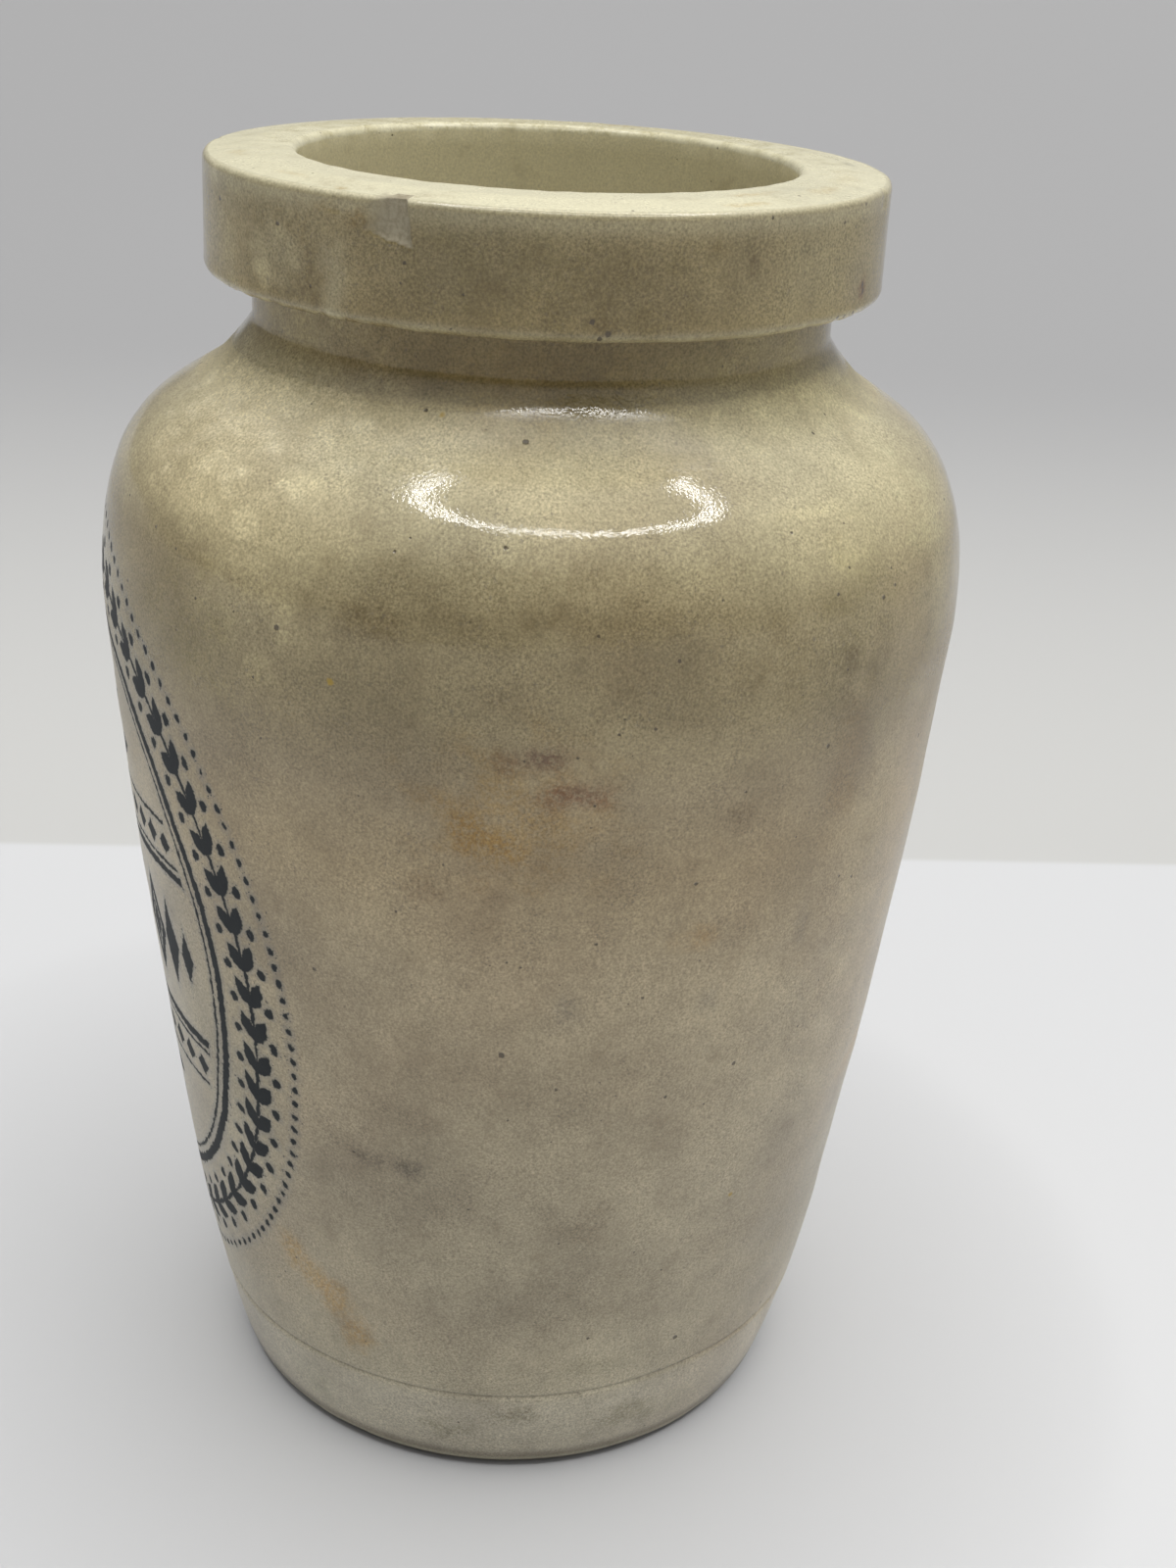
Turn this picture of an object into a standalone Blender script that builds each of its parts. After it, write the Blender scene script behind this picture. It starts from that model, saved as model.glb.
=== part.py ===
# Cream-glazed stoneware food jar: a straight collar over a waisted neck, a round
# shoulder and a body that tapers to a flat foot. The whole jar is one fired piece,
# turned about the Z axis, and it stands on its foot at z = 0. Lengths are in metres.

import math

import bmesh
import bpy
from mathutils import Vector
from mathutils.geometry import interpolate_bezier

# Overall sizes of the jar
HEIGHT = 0.1250               # foot to the top of the rim
BELLY_DIAMETER = 0.0816       # widest line of the body
FOOT_EDGE_DIAMETER = 0.0592   # crisp edge where the tapered side ends
MOUTH_BORE = 0.0444           # clear bore through the neck and the collar

# Collar and rim
COLLAR_HEIGHT = 0.0104        # rim top to the lower edge of the collar
COLLAR_OVERHANG = 0.0042      # how far the collar stands out beyond the neck
RIM_FLAT = 0.0034             # flat inner part of the rim, which a cover sits on
RIM_FALL = 0.0004             # how far the rim drops towards its outer edge
RIM_OUTER_ROUND = 0.0006
RIM_INNER_ROUND = 0.0008
COLLAR_EDGE_ROUND = 0.0009    # rounding of the collar's lower edge

# Neck and shoulder
NECK_WALL = 0.0040            # wall of the upright neck under the collar
NECK_UPRIGHT = 0.0041         # from the collar's lower edge down to the hollow curve
NECK_FILLET = 0.0005          # hollow corner between the neck and the collar
SWEEP_HEIGHT = 0.0047         # hollow curve that turns the neck out into the shoulder
SWEEP_REACH = 0.0042          # how far that curve carries the side outward
SHOULDER_SLOPE = math.radians(53.6)   # steepest lean of the shoulder, away from upright
SHOULDER_DROP = 0.0199        # from that steepest line down to the belly line

# Body, floor and foot
BODY_WALL = 0.0055
FLOOR_THICKNESS = 0.0068      # from the standing plane to the floor of the hollow
FLOOR_CORNER = 0.0090         # rise of the rounded corner inside the hollow
CORNER_CLEARANCE = 0.0022     # plain wall left above that corner before the next ring
MOULD_LINE_HEIGHT = 0.0100    # fine crease left where the base of the mould parted
MOULD_LINE_WIDTH = 0.0008
MOULD_LINE_DEPTH = 0.0002
FOOT_BEVEL = 0.0014           # height of the bevel under the foot edge
FOOT_EDGE_ROUND = 0.0004
FOOT_RING_WIDTH = 0.0056      # flat ring that the jar stands on
RECESS_DEPTH = 0.0011         # shallow recess inside the foot ring
RECESS_BANK = 0.0010          # width of the recess's sloping side

# Shape factors: handles of the three side curves, as shares of their height or width
NECK_HOLD = 0.15              # handle down from the neck
SWEEP_HOLD = 0.34             # handle up the slope, towards the neck
SLOPE_FULLNESS = 0.24         # handle down the slope, towards the belly
SHOULDER_FULLNESS = 0.82      # upward handle at the belly line
TAPER_OUTWARD = 0.524         # how far out the handle at the foot edge reaches
TAPER_RISE = 0.191            # how far up it reaches
BELLY_FULLNESS = 0.041        # downward handle at the belly line
ROUND_HANDLE = 0.55           # handle that draws a quarter circle, as a share of its radius

# Fineness of the turned surface
TURN_STEPS = 64
TAPER_POINTS = 11
SHOULDER_POINTS = 11
SWEEP_POINTS = 7
CORNER_POINTS = 6
EDGE_STEPS = 3
SHARP_ANGLE = math.radians(38)
AXIS_RADIUS = 1e-7

# Glaze
GLAZE_COLOUR = (0.52, 0.47, 0.35, 1.0)
GLAZE_ROUGHNESS = 0.28
GLAZE_COAT = 0.4


def clear_scene():
    for existing in list(bpy.data.objects):
        bpy.data.objects.remove(existing, do_unlink=True)


def arc(centre, radius, start, end, steps):
    """Points of a round edge, with its angles in degrees from +X."""
    points = []
    for step in range(steps + 1):
        angle = math.radians(start + (end - start) * step / steps)
        points.append(centre + radius * Vector((math.cos(angle), math.sin(angle))))
    return points


def curve(start, start_handle, end_handle, end, count):
    """Points of one smooth stretch of the profile, ends included."""
    return [Vector(point) for point in interpolate_bezier(start, start_handle, end_handle, end, count)]


def outer_side():
    """The side from the foot edge up to the neck: taper, round shoulder, hollow sweep."""
    foot = Vector((FOOT_EDGE_DIAMETER / 2, FOOT_BEVEL))
    neck = Vector((MOUTH_BORE / 2 + NECK_WALL, HEIGHT - COLLAR_HEIGHT - NECK_UPRIGHT))
    steepest = neck + Vector((SWEEP_REACH, -SWEEP_HEIGHT))
    belly = Vector((BELLY_DIAMETER / 2, steepest.y - SHOULDER_DROP))
    up_slope = Vector((-math.sin(SHOULDER_SLOPE), math.cos(SHOULDER_SLOPE)))
    rise = belly.y - foot.y
    taper = curve(
        foot,
        foot + Vector((TAPER_OUTWARD * (belly.x - foot.x), TAPER_RISE * rise)),
        belly - Vector((0, BELLY_FULLNESS * rise)),
        belly,
        TAPER_POINTS,
    )
    shoulder = curve(
        belly,
        belly + Vector((0, SHOULDER_FULLNESS * SHOULDER_DROP)),
        steepest - SLOPE_FULLNESS * SHOULDER_DROP * up_slope,
        steepest,
        SHOULDER_POINTS,
    )
    sweep = curve(
        steepest,
        steepest + SWEEP_HOLD * SWEEP_HEIGHT * up_slope,
        neck - Vector((0, NECK_HOLD * SWEEP_HEIGHT)),
        neck,
        SWEEP_POINTS,
    )
    return taper + shoulder[1:] + sweep[1:]


def with_mould_line(side):
    """Cut the fine crease into the side at its own height."""
    low = MOULD_LINE_HEIGHT - MOULD_LINE_WIDTH / 2
    high = MOULD_LINE_HEIGHT + MOULD_LINE_WIDTH / 2
    crease = [
        Vector((radius_at(side, low), low)),
        Vector((radius_at(side, MOULD_LINE_HEIGHT) - MOULD_LINE_DEPTH, MOULD_LINE_HEIGHT)),
        Vector((radius_at(side, high), high)),
    ]
    below = [point for point in side if point.y < low - MOULD_LINE_WIDTH]
    above = [point for point in side if point.y > high + MOULD_LINE_WIDTH]
    return below + crease + above


def radius_at(side, height):
    """Radius of a profile stretch at one height, read between its points."""
    for lower, upper in zip(side, side[1:]):
        if lower.y <= height <= upper.y:
            share = (height - lower.y) / (upper.y - lower.y)
            return lower.x + share * (upper.x - lower.x)
    return side[0].x


def inner_side(side):
    """The hollow's wall: the side moved inward by a wall that thins at the neck."""
    bore = MOUTH_BORE / 2
    thinning = SHOULDER_DROP + SWEEP_HEIGHT
    belly_height = side[-1].y - thinning
    wall_line = []
    for index, point in enumerate(side):
        before = side[max(index - 1, 0)]
        after = side[min(index + 1, len(side) - 1)]
        along = (after - before).normalized()
        rise = min(max((point.y - belly_height) / thinning, 0), 1)
        wall = BODY_WALL + (NECK_WALL - BODY_WALL) * rise * rise
        inward = point + wall * Vector((-along.y, along.x))
        wall_line.append(Vector((max(inward.x, bore), inward.y)))
    wall_line[-1] = Vector((bore, side[-1].y))
    corner_top = FLOOR_THICKNESS + FLOOR_CORNER
    above_corner = [point for point in wall_line if point.y > corner_top + CORNER_CLEARANCE]
    start = Vector((radius_at(wall_line, corner_top), corner_top))
    slope = (above_corner[0] - start).normalized()
    floor_edge = Vector((start.x - FLOOR_CORNER, FLOOR_THICKNESS))
    handle = FLOOR_CORNER * ROUND_HANDLE
    corner = curve(
        floor_edge,
        floor_edge + Vector((handle, 0)),
        start - handle * slope,
        start,
        CORNER_POINTS,
    )
    return [Vector((0, FLOOR_THICKNESS))] + corner + above_corner


def rim_and_collar():
    """From the bore over the rim and down the collar to the hollow of the neck."""
    bore = MOUTH_BORE / 2
    neck = bore + NECK_WALL
    collar = neck + COLLAR_OVERHANG
    ledge = HEIGHT - COLLAR_HEIGHT
    inner = Vector((bore + RIM_INNER_ROUND, HEIGHT - RIM_INNER_ROUND))
    outer = Vector((collar - RIM_OUTER_ROUND, HEIGHT - RIM_FALL - RIM_OUTER_ROUND))
    edge = Vector((collar - COLLAR_EDGE_ROUND, ledge + COLLAR_EDGE_ROUND))
    hollow = Vector((neck + NECK_FILLET, ledge - NECK_FILLET))
    points = arc(inner, RIM_INNER_ROUND, 180, 90, EDGE_STEPS)
    points.append(Vector((inner.x + RIM_FLAT, HEIGHT)))
    points += arc(outer, RIM_OUTER_ROUND, 90, 0, EDGE_STEPS)
    points += arc(edge, COLLAR_EDGE_ROUND, 0, -90, EDGE_STEPS)
    points += arc(hollow, NECK_FILLET, 90, 180, EDGE_STEPS)
    return points


def foot():
    """From the crisp foot edge under the bevel, across the ring and into the recess."""
    edge = FOOT_EDGE_DIAMETER / 2
    ring_outer = edge - FOOT_BEVEL
    ring_inner = ring_outer - FOOT_RING_WIDTH
    return [
        Vector((edge - FOOT_EDGE_ROUND / 2, FOOT_BEVEL - FOOT_EDGE_ROUND)),
        Vector((ring_outer, 0)),
        Vector((ring_inner, 0)),
        Vector((ring_inner - RECESS_BANK, RECESS_DEPTH)),
        Vector((0, RECESS_DEPTH)),
    ]


def jar_profile():
    """The closed wall in section, from the hollow's floor over the rim to the foot."""
    side = outer_side()
    return inner_side(side) + rim_and_collar() + list(reversed(with_mould_line(side))) + foot()


def turned_body(name, profile, material):
    """Turn a profile of (radius, height) points once about Z into one closed body."""
    shape = bmesh.new()
    verts = [shape.verts.new((max(point.x, 0), 0, point.y)) for point in profile]
    edges = [shape.edges.new(pair) for pair in zip(verts, verts[1:])]
    bmesh.ops.spin(
        shape,
        geom=verts + edges,
        cent=(0, 0, 0),
        axis=(0, 0, 1),
        angle=math.tau,
        steps=TURN_STEPS,
        use_merge=True,
    )
    bmesh.ops.remove_doubles(shape, verts=shape.verts, dist=AXIS_RADIUS)
    bmesh.ops.recalc_face_normals(shape, faces=shape.faces)
    mesh = bpy.data.meshes.new(name)
    shape.to_mesh(mesh)
    shape.free()
    mesh.shade_smooth()
    mesh.set_sharp_from_angle(angle=SHARP_ANGLE)
    mesh.materials.append(material)
    body = bpy.data.objects.new(name, mesh)
    bpy.context.scene.collection.objects.link(body)
    return body


def glaze():
    """Cream glaze over pale stoneware, glossy with slightly soft highlights."""
    material = bpy.data.materials.new("cream_glaze")
    material.use_nodes = True
    shader = material.node_tree.nodes["Principled BSDF"]
    shader.inputs["Base Color"].default_value = GLAZE_COLOUR
    shader.inputs["Roughness"].default_value = GLAZE_ROUGHNESS
    shader.inputs["Metallic"].default_value = 0.0
    shader.inputs["Coat Weight"].default_value = GLAZE_COAT
    return material


clear_scene()
turned_body("jar_body", jar_profile(), glaze())
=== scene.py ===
import math

import bpy
import numpy as np
from mathutils import Matrix, Vector
from mathutils.geometry import interpolate_bezier


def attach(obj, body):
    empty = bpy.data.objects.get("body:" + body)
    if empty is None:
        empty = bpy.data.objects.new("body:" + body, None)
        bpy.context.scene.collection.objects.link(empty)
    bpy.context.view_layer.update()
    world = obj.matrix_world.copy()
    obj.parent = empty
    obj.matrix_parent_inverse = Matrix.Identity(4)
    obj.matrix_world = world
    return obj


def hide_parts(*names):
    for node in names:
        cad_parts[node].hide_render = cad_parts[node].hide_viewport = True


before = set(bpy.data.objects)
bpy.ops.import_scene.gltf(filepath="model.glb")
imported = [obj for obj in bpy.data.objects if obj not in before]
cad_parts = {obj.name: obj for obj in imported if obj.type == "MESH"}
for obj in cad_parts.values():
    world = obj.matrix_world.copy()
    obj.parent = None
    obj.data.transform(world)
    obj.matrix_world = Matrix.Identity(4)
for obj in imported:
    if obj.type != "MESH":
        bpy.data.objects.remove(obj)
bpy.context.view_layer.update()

# The camera stands a hand's breadth from the jar, before its plain side, with the
# print just turning out of sight on the left, and looks down past the rim.
side_degrees = 86                    # from the middle of the print round to the camera
side_turn = math.radians(side_degrees)
camera_reach = 0.1817                # from the jar's axis
camera_height = 0.1471
camera_aside = math.radians(-2.024)
camera_tilt = math.radians(24.70)
camera_roll = math.radians(3.046)

eye = bpy.data.cameras.new("eye")
eye.lens = 45.0
eye.sensor_width = 36.0
eye.clip_start = 0.005
eye.clip_end = 20.0
camera = bpy.data.objects.new("eye", eye)
bpy.context.scene.collection.objects.link(camera)
camera.matrix_world = (
    Matrix.Rotation(side_turn, 4, "Z")
    @ Matrix.Translation((0, -camera_reach, camera_height))
    @ Matrix.Rotation(camera_aside, 4, "Z")
    @ Matrix.Rotation(math.pi / 2 - camera_tilt, 4, "X")
    @ Matrix.Rotation(camera_roll, 4, "Z")
)
bpy.context.scene.camera = camera
bpy.context.scene.view_settings.view_transform = "Standard"

# The jar stands on a smooth white table with a hardly glossy top, laid flat, which ends a hand's
# breadth behind the jar. Beyond that edge lies a plain pale grey. The white top carries painted
# shade, a little darker far in front of the jar and at its far edge than beside it, and the grey
# carries painted shade that darkens it further back.
table_edge = 0.1095
edge_turn = side_turn + math.radians(2.4)
table_reach = 6.0

table_mesh = bpy.data.meshes.new("table")
table_mesh.from_pydata(
    [(x * table_reach, y * table_reach, 0) for x, y in ((-1, -1), (1, -1), (1, 1), (-1, 1))],
    [],
    [(0, 1, 2, 3)],
)
table = bpy.data.objects.new("table", table_mesh)
bpy.context.scene.collection.objects.link(table)


def put(tree, kind, inputs, output=0, **settings):
    """Add one shader node, set it, feed its inputs with numbers or other outputs."""
    node = tree.nodes.new(kind)
    for name, value in settings.items():
        setattr(node, name, value)
    for key, value in inputs.items():
        if isinstance(value, bpy.types.NodeSocket):
            tree.links.new(value, node.inputs[key])
        else:
            node.inputs[key].default_value = value
    return node.outputs[output]


def sums(tree, operation, first, second=0.0, third=0.0):
    return put(tree, "ShaderNodeMath", {0: first, 1: second, 2: third}, operation=operation)


def fade(tree, value, low, high, at_low=0.0, at_high=1.0):
    """Smooth step of a value from one level to another."""
    return put(
        tree,
        "ShaderNodeMapRange",
        {0: value, 1: low, 2: high, 3: at_low, 4: at_high},
        interpolation_type="SMOOTHSTEP",
    )


def lay_over(tree, share, under, over, how="MIX"):
    """Lay one colour over another by a share of 0 to 1."""
    return put(
        tree,
        "ShaderNodeMix",
        {0: share, 6: under, 7: over},
        output=2,
        data_type="RGBA",
        blend_type=how,
        clamp_factor=True,
    )


def along_way(tree, place, way):
    """How far a place or a direction reaches along a way."""
    return put(
        tree, "ShaderNodeVectorMath", {0: place, 1: way}, output=1, operation="DOT_PRODUCT"
    )


white_top = bpy.data.materials.new("white_table")
white_top.use_nodes = True
tree = white_top.node_tree
finish = tree.nodes["Principled BSDF"]
on_table = put(tree, "ShaderNodeTexCoord", {}, output=3)
behind = along_way(tree, on_table, (-math.sin(edge_turn), math.cos(edge_turn), 0))
# Painted shade: the white top darkens far in front of the jar and a little towards its far edge,
# and the grey beyond darkens further back.
front_painted_shade = lay_over(
    tree, fade(tree, behind, -0.40, -0.05), (0.52, 0.52, 0.525, 1), (0.575, 0.58, 0.59, 1)
)
white_top_and_shade = lay_over(
    tree, fade(tree, behind, -0.05, table_edge), front_painted_shade, (0.55, 0.555, 0.565, 1)
)
far_grey_and_shade = lay_over(
    tree, fade(tree, behind, table_edge, 0.50), (0.475, 0.475, 0.465, 1), (0.31, 0.31, 0.315, 1)
)
past_edge = fade(tree, behind, table_edge - 0.001, table_edge + 0.001)
tree.links.new(lay_over(tree, past_edge, white_top_and_shade, far_grey_and_shade), finish.inputs["Base Color"])
finish.inputs["Roughness"].default_value = 0.55
finish.inputs["Specular IOR Level"].default_value = 0.3
table_mesh.materials.append(white_top)

# The light is a soft ring lamp high above the jar, a little to its right, under a pale
# ceiling in a dim white room, lighter on the right and dark on the side that the jar
# is seen from. The ring shows as a hoop in the glaze of the shoulder.
ring_lean = (5.5, -1.3)              # degrees from straight above: to the right, and behind
ring_radius = 23.5
ring_width = 4.0
ring_strength = 30.0
ceiling_reach = (30.0, 65.0)         # where the ceiling's glow starts and ends to fade
ceiling_strength = 0.75
room_strength = 0.30
backdrop_strength = 0.42

room = bpy.data.worlds.new("white_room")
bpy.context.scene.world = room
room.use_nodes = True
tree = room.node_tree
ring_axis = Matrix.Rotation(side_turn, 3, "Z") @ Vector(
    (math.sin(math.radians(ring_lean[0])), math.sin(math.radians(ring_lean[1])), 1)
).normalized()
sky = put(tree, "ShaderNodeTexCoord", {})
lean = along_way(tree, sky, tuple(ring_axis))
overhead = along_way(tree, sky, (0, 0, 1))
front_way = along_way(tree, sky, (math.sin(side_turn), -math.cos(side_turn), 0))
left_way = along_way(tree, sky, (-math.cos(side_turn), -math.sin(side_turn), 0))
room_glow = sums(
    tree,
    "MULTIPLY",
    fade(tree, front_way, 0.2, 0.9, room_strength, 0.15 * room_strength),
    fade(tree, left_way, -0.7, 0.7, 1.35, 0.55),
)
ceiling_edge, ceiling_core = [math.cos(math.radians(lean)) for lean in reversed(ceiling_reach)]
ceiling_glow = fade(tree, overhead, ceiling_edge, ceiling_core, 0, ceiling_strength)
off_axis = sums(tree, "ARCCOSINE", lean)
off_ring = sums(tree, "ABSOLUTE", sums(tree, "SUBTRACT", off_axis, math.radians(ring_radius)))
ring_glow = fade(tree, off_ring, 0, math.radians(ring_width / 2), ring_strength, 0)
lit = sums(tree, "ADD", sums(tree, "ADD", ring_glow, ceiling_glow), room_glow)
seen_plain = sums(tree, "SUBTRACT", backdrop_strength, lit)
strength = sums(tree, "MULTIPLY_ADD", put(tree, "ShaderNodeLightPath", {}), seen_plain, lit)
backdrop = tree.nodes["Background"]
backdrop.inputs["Color"].default_value = (1, 0.995, 0.985, 1)
tree.links.new(strength, backdrop.inputs["Strength"])

# The jar is one hollow piece of stoneware, formed in a mould, glazed and fired: a straight
# collar over a waisted neck, a round shoulder, a tapered side and a bevelled foot ring
# round a shallow recess. Its sizes are millimetres of radius and height.
jar_height = 125.0
belly_radius = 40.62
belly_height = 85.9
foot_radius = 29.6
foot_bevel = 1.4
bore_radius = 22.2
collar_radius = 30.4
ledge_height = 114.6                 # lower edge of the collar
neck_radius = 26.3
neck_height = 110.7                  # where the upright neck starts to turn out
steepest = np.array([30.4, 105.8])   # steepest place of the shoulder
shoulder_lean = math.radians(53.6)
rim_crest = 26.4                     # from here the rim falls a little outward
rim_round = 0.8                      # round inner edge of the rim
collar_round = 0.6                   # round upper edge of the collar
ledge_round = 0.9                    # round lower edge of the collar
ledge_inner = 26.8                   # where the ledge meets the neck
wall_thickness = 5.5
floor_height = 6.8
foot_ring = (28.2, 22.6)             # outer and inner radius of what it stands on
recess_height = 1.1
seam_height = 10.9                   # crease left where the base of the mould parted


def sweep(points, count):
    """Points along a smooth stretch of the outline."""
    bent = interpolate_bezier(*[Vector((*point, 0)) for point in points], count)
    return np.array([point.xy for point in bent])


def bend(centre, radius, start, end, count):
    """Points round a circular edge, between two angles in degrees."""
    turn = np.radians(np.linspace(start, end, count))
    return np.stack([centre[0] + radius * np.cos(turn), centre[1] + radius * np.sin(turn)], 1)


def spaced(line, gap):
    """The same line with points about one gap apart."""
    line = np.array(line, float)
    run = np.concatenate([[0], np.cumsum(np.hypot(*np.diff(line, axis=0).T))])
    marks = np.linspace(0, run[-1], max(int(round(run[-1] / gap)), 1) + 1)
    return np.stack([np.interp(marks, run, line[:, 0]), np.interp(marks, run, line[:, 1])], 1)


# The outline runs from the floor of the hollow over the rim and down the outside to
# the middle of the underside. Its side is drawn in three smooth sweeps.
side_rise = belly_height - foot_bevel
taper = sweep(
    [
        (foot_radius, foot_bevel),
        (foot_radius + 0.524 * (belly_radius - foot_radius), foot_bevel + 0.191 * side_rise),
        (belly_radius, belly_height - 0.041 * side_rise),
        (belly_radius, belly_height),
    ],
    160,
)
shoulder_rise = steepest[1] - belly_height
up_slope = np.array([-math.sin(shoulder_lean), math.cos(shoulder_lean)])
shoulder = sweep(
    [
        (belly_radius, belly_height),
        (belly_radius, belly_height + 0.82 * shoulder_rise),
        tuple(steepest - 0.24 * shoulder_rise * up_slope),
        tuple(steepest),
    ],
    80,
)
hollow_rise = neck_height - steepest[1]
neck = sweep(
    [
        tuple(steepest),
        tuple(steepest + 0.34 * hollow_rise * up_slope),
        (neck_radius, neck_height - 0.15 * hollow_rise),
        (neck_radius, neck_height),
    ],
    40,
)
side = np.concatenate([taper, shoulder[1:], neck[1:]])

# The hollow keeps an even wall behind the side, and narrows to the bore at the neck.
heading = np.gradient(side, axis=0)
heading /= np.hypot(*heading.T)[:, None]
climb = np.clip((side[:, 1] - belly_height) / (neck_height - belly_height), 0, 1)
wall = wall_thickness + (neck_radius - bore_radius - wall_thickness) * climb**2
hollow = side + wall[:, None] * np.stack([-heading[:, 1], heading[:, 0]], 1)
hollow[:, 0] = np.maximum(hollow[:, 0], bore_radius)
hollow = hollow[hollow[:, 1] > floor_height + 9]
corner = sweep(
    [
        (hollow[0][0] - 9, floor_height),
        (hollow[0][0] - 4, floor_height),
        (hollow[0][0] - 0.6, hollow[0][1] - 5),
        tuple(hollow[0]),
    ],
    24,
)

# Points lie closer together where the outline turns sharply or carries fine relief.
stretches = {
    "inside": spaced(
        [(0, floor_height), *corner, *hollow[1:], (bore_radius, jar_height - rim_round)], 1.4
    ),
    "rim": np.concatenate(
        [
            bend((bore_radius + rim_round, jar_height - rim_round), rim_round, 180, 90, 7)[1:],
            spaced([(bore_radius + rim_round, jar_height), (rim_crest, jar_height)], 0.4)[1:],
            spaced(
                [(rim_crest, jar_height), (collar_radius - collar_round, jar_height - 0.4)], 0.25
            )[1:],
        ]
    ),
    "collar": np.concatenate(
        [
            bend((collar_radius - collar_round, jar_height - 1.0), collar_round, 80, 0, 7),
            spaced(
                [(collar_radius, jar_height - 1.0), (collar_radius, ledge_height + ledge_round)],
                0.18,
            )[1:],
            bend(
                (collar_radius - ledge_round, ledge_height + ledge_round),
                ledge_round,
                0,
                -90,
                10,
            )[1:],
            spaced(
                [(collar_radius - ledge_round, ledge_height), (ledge_inner, ledge_height)], 0.5
            )[1:],
            bend((ledge_inner, ledge_height - 0.5), 0.5, 90, 180, 5)[1:],
        ]
    ),
    "side": np.concatenate(
        [
            spaced([(neck_radius, ledge_height - 0.5), (neck_radius, neck_height)], 0.45)[1:],
            spaced(side[side[:, 1] > 91][::-1], 0.30)[1:],
            spaced(side[(side[:, 1] > 13.5) & (side[:, 1] < 90.6)][::-1], 0.75),
            spaced(side[(side[:, 1] > 8) & (side[:, 1] < 13.4)][::-1], 0.16),
            spaced(side[side[:, 1] < 7.9][::-1], 0.5),
        ]
    ),
    "foot": np.concatenate(
        [
            [(29.45, 1.05), (29.2, 0.75)],
            spaced([(28.9, 0.5), (foot_ring[0], 0)], 0.3)[1:],
            spaced([(foot_ring[0], 0), (foot_ring[1], 0)], 0.5)[1:],
            spaced([(foot_ring[1], 0), (foot_ring[1] - 1, recess_height)], 0.4)[1:],
            spaced([(foot_ring[1] - 1, recess_height), (0, recess_height)], 1.5)[1:],
        ]
    ),
}
outline = np.concatenate(list(stretches.values()))
part_of = np.concatenate([[name] * len(points) for name, points in stretches.items()])
run = np.concatenate([[0], np.cumsum(np.hypot(*np.diff(outline, axis=0).T))])

# Round the jar the surface has a point every degree, and five times as many where
# the collar is chipped. Angles count from the middle of the print to its right.
degrees = np.concatenate([np.arange(-180, 56), np.arange(280, 350) / 5, np.arange(70, 180)])
turns = np.radians(degrees)
from_camera = (degrees - side_degrees + 180) % 360 - 180


def ripple(seed, size, waves=26):
    """Smooth unevenness of about one unit, with bumps of one size in millimetres."""
    draw = np.random.default_rng(seed)
    total = np.zeros((len(outline), len(turns)))
    for _ in range(waves):
        way, phase = draw.uniform(0, math.tau, 2)
        pitch = math.tau / (size * draw.uniform(1.6, 2.8))
        around = round(pitch * math.cos(way) * 36)
        total += np.cos(around * turns + pitch * math.sin(way) * run[:, None] + phase)
    return total / math.sqrt(waves / 2)


def hump(value, middle, half_width):
    """A smooth bell of height one."""
    return np.exp(-(((value - middle) / half_width) ** 2))


radius = np.repeat(outline[:, :1], len(turns), 1)
height = np.repeat(outline[:, 1:], len(turns), 1)
along = np.gradient(outline, axis=0)
along /= np.maximum(np.hypot(*along.T), 1e-6)[:, None]
outward = np.stack([-along[:, 1], along[:, 0]], 1)
on = {name: (part_of == name)[:, None] for name in stretches}
outer = on["side"] | on["collar"]

# The clay is slightly out of round, dented and finely wavy under the glaze, though
# nowhere wider than its belly line or higher than its rim.
out_of_round = 0.05 * np.cos(2 * turns - 0.7) + 0.03 * np.cos(3 * turns + 1.9)
turning_rings = 0.010 * np.cos(height * 2.1 + 0.8 * np.sin(turns * 2)) * hump(height, 99, 9)
lift = out_of_round + 0.055 * ripple(11, 13) + 0.014 * ripple(12, 3.4)
lift = np.clip(lift, -0.25, 0.14) * np.clip((height - 2) / 6, 0, 1) + turning_rings
lift = outer * lift * np.abs(outward[:, :1])
below_rim = np.clip((jar_height - height) / 22, 0, 1) * np.clip(radius / 12, 0, 1)
lift += on["inside"] * (0.10 * ripple(13, 12) + 0.02 * ripple(14, 4)) * below_rim
lift += on["rim"] * 0.013 * np.minimum(ripple(15, 2.2) - 2, 0)
lift += on["foot"] * 0.03 * (ripple(16, 4) - 2) * (height > 0.02)

# A crease runs round above the foot, where the base of the mould met its sides.
seam_line = seam_height + 0.9 * np.cos(turns - math.radians(101))
lift -= on["side"] * 0.16 * hump(height, seam_line, 0.22)
lift += on["side"] * 0.05 * hump(height, seam_line - 0.7, 0.6)

# Glaze has run down the collar beside the chip and gathered at its lower edge.
run_middle = -32.9 + 0.16 * (height - 118) + 0.35 * np.sin(height * 1.3)
across_run = (from_camera - run_middle) * math.radians(1) * collar_radius
run_down = np.clip((121.6 - height) / 1.6, 0, 1)
glaze_run = on["collar"] * run_down * hump(across_run, 0, 1.1) * (height > 115)
lift += 0.06 * glaze_run
lift -= on["collar"] * 0.12 * hump(across_run, -5.3, 3.4) * hump(height, 118, 2.9)
lift += on["collar"] * 0.04 * hump(height, 115.3, 0.5)

# Low slanting ridges of glaze lie on the shoulder. Each has its angle from the
# camera's side, its height, half its turn and its rise.
for turn, middle, half_turn, rise in (
    (31, 101.9, 7, 0.07), (-29, 102.6, 6, 0.06), (150, 101, 8, 0.06),
):
    slant = middle + 0.10 * (from_camera - turn) * np.sign(turn)
    lift += on["side"] * rise * hump(height, slant, 0.8) * hump(from_camera, turn, half_turn)
radius += lift * outward[:, :1]
height += lift * outward[:, 1:]

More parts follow.
